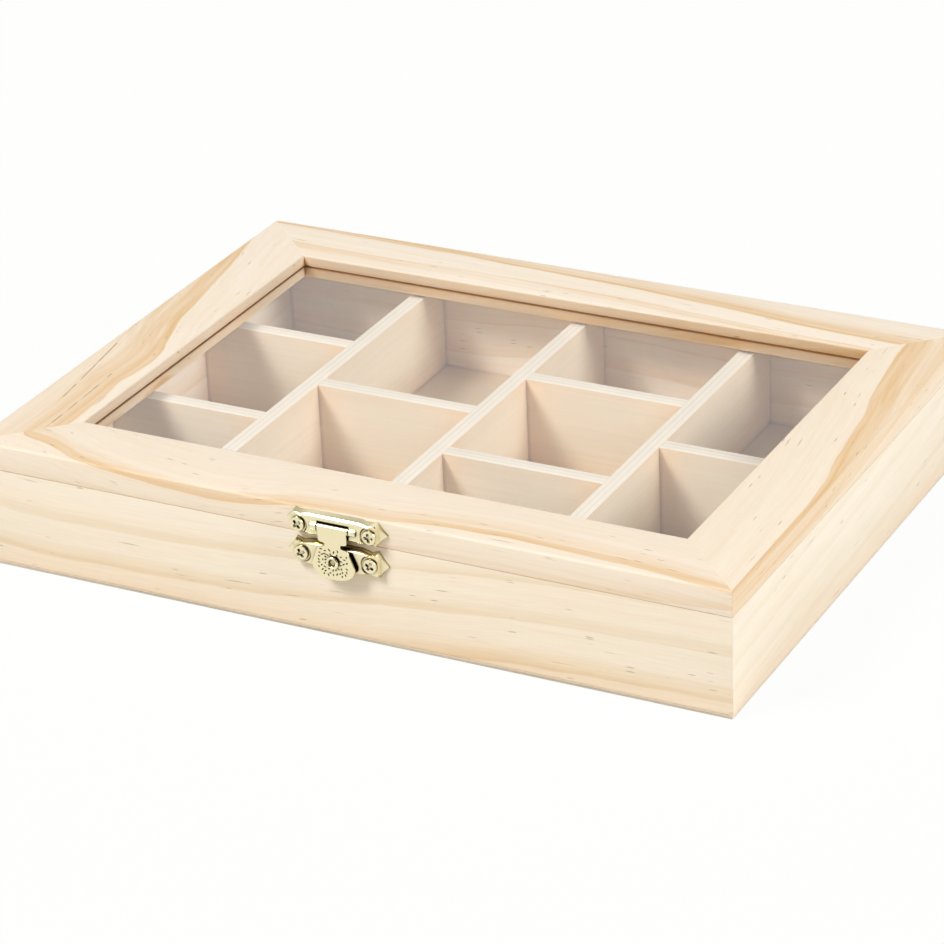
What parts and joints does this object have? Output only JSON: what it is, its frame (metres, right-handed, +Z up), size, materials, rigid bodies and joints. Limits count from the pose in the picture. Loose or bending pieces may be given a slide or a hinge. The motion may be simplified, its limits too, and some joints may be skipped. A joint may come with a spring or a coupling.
{
  "type": "tea bag organizer box",
  "caption": "Low pine box with a framed glass lid on two hinges, a small brass hasp, and compartments for tea bags.",
  "frame": {"origin": "middle of the underside of the wooden box, on the table", "axes": "+X to the right along the front, +Y to the back, where the hinges are, +Z up; the hasp faces -Y"},
  "size_m": [0.28, 0.218, 0.046],
  "materials": {
    "pine": "sanded, unfinished pine with flat-sawn grain",
    "divider_plywood": "sanded, unfinished light plywood",
    "bottom_plywood": "thin unfinished plywood",
    "clear_glass": "clear float glass",
    "brass_plated_sheet": "pressed steel sheet, polished and brass plated",
    "brass_screws": "brass-plated cross-head screws",
    "brass_pins": "brass-plated wire"
  },
  "bodies": {
    "base": {"base_front": "pine", "base_right": "pine", "base_back": "pine", "base_left": "pine", "bottom_panel": "bottom_plywood", "long_divider_left": "divider_plywood", "long_divider_middle": "divider_plywood", "long_divider_right": "divider_plywood", "cross_divider_a_front": "divider_plywood", "cross_divider_a_back": "divider_plywood", "cross_divider_b": "divider_plywood", "cross_divider_c_front": "divider_plywood", "cross_divider_c_back": "divider_plywood", "cross_divider_d": "divider_plywood", "catch_plate": "brass_plated_sheet", "hinge_base_leaf_left": "brass_plated_sheet", "hinge_base_leaf_right": "brass_plated_sheet", "catch_screws": "brass_screws", "hinge_base_screws": "brass_screws", "hinge_pin_left": "brass_pins", "hinge_pin_right": "brass_pins"},
    "lid": {"lid_front": "pine", "lid_right": "pine", "lid_back": "pine", "lid_left": "pine", "glass_pane": "clear_glass", "hasp_plate": "brass_plated_sheet", "hasp_screws": "brass_screws", "hasp_pin": "brass_pins", "hinge_lid_leaf_left": "brass_plated_sheet", "hinge_lid_leaf_right": "brass_plated_sheet", "hinge_lid_screws": "brass_screws"},
    "hasp": {"hasp_leaf": "brass_plated_sheet"}
  },
  "joints": [
    {"name": "lid_hinge", "type": "hinge", "parent": "base", "child": "lid", "pos_m": [0, 0.1064, 0.0365], "axis": [-1, 0, 0], "range_deg": [0, 180]},
    {"name": "hasp_pivot", "type": "hinge", "parent": "lid", "child": "hasp", "pos_m": [0.0009, -0.1075, 0.0415], "axis": [-1, 0, 0], "range_deg": [0, 130]}
  ]
}
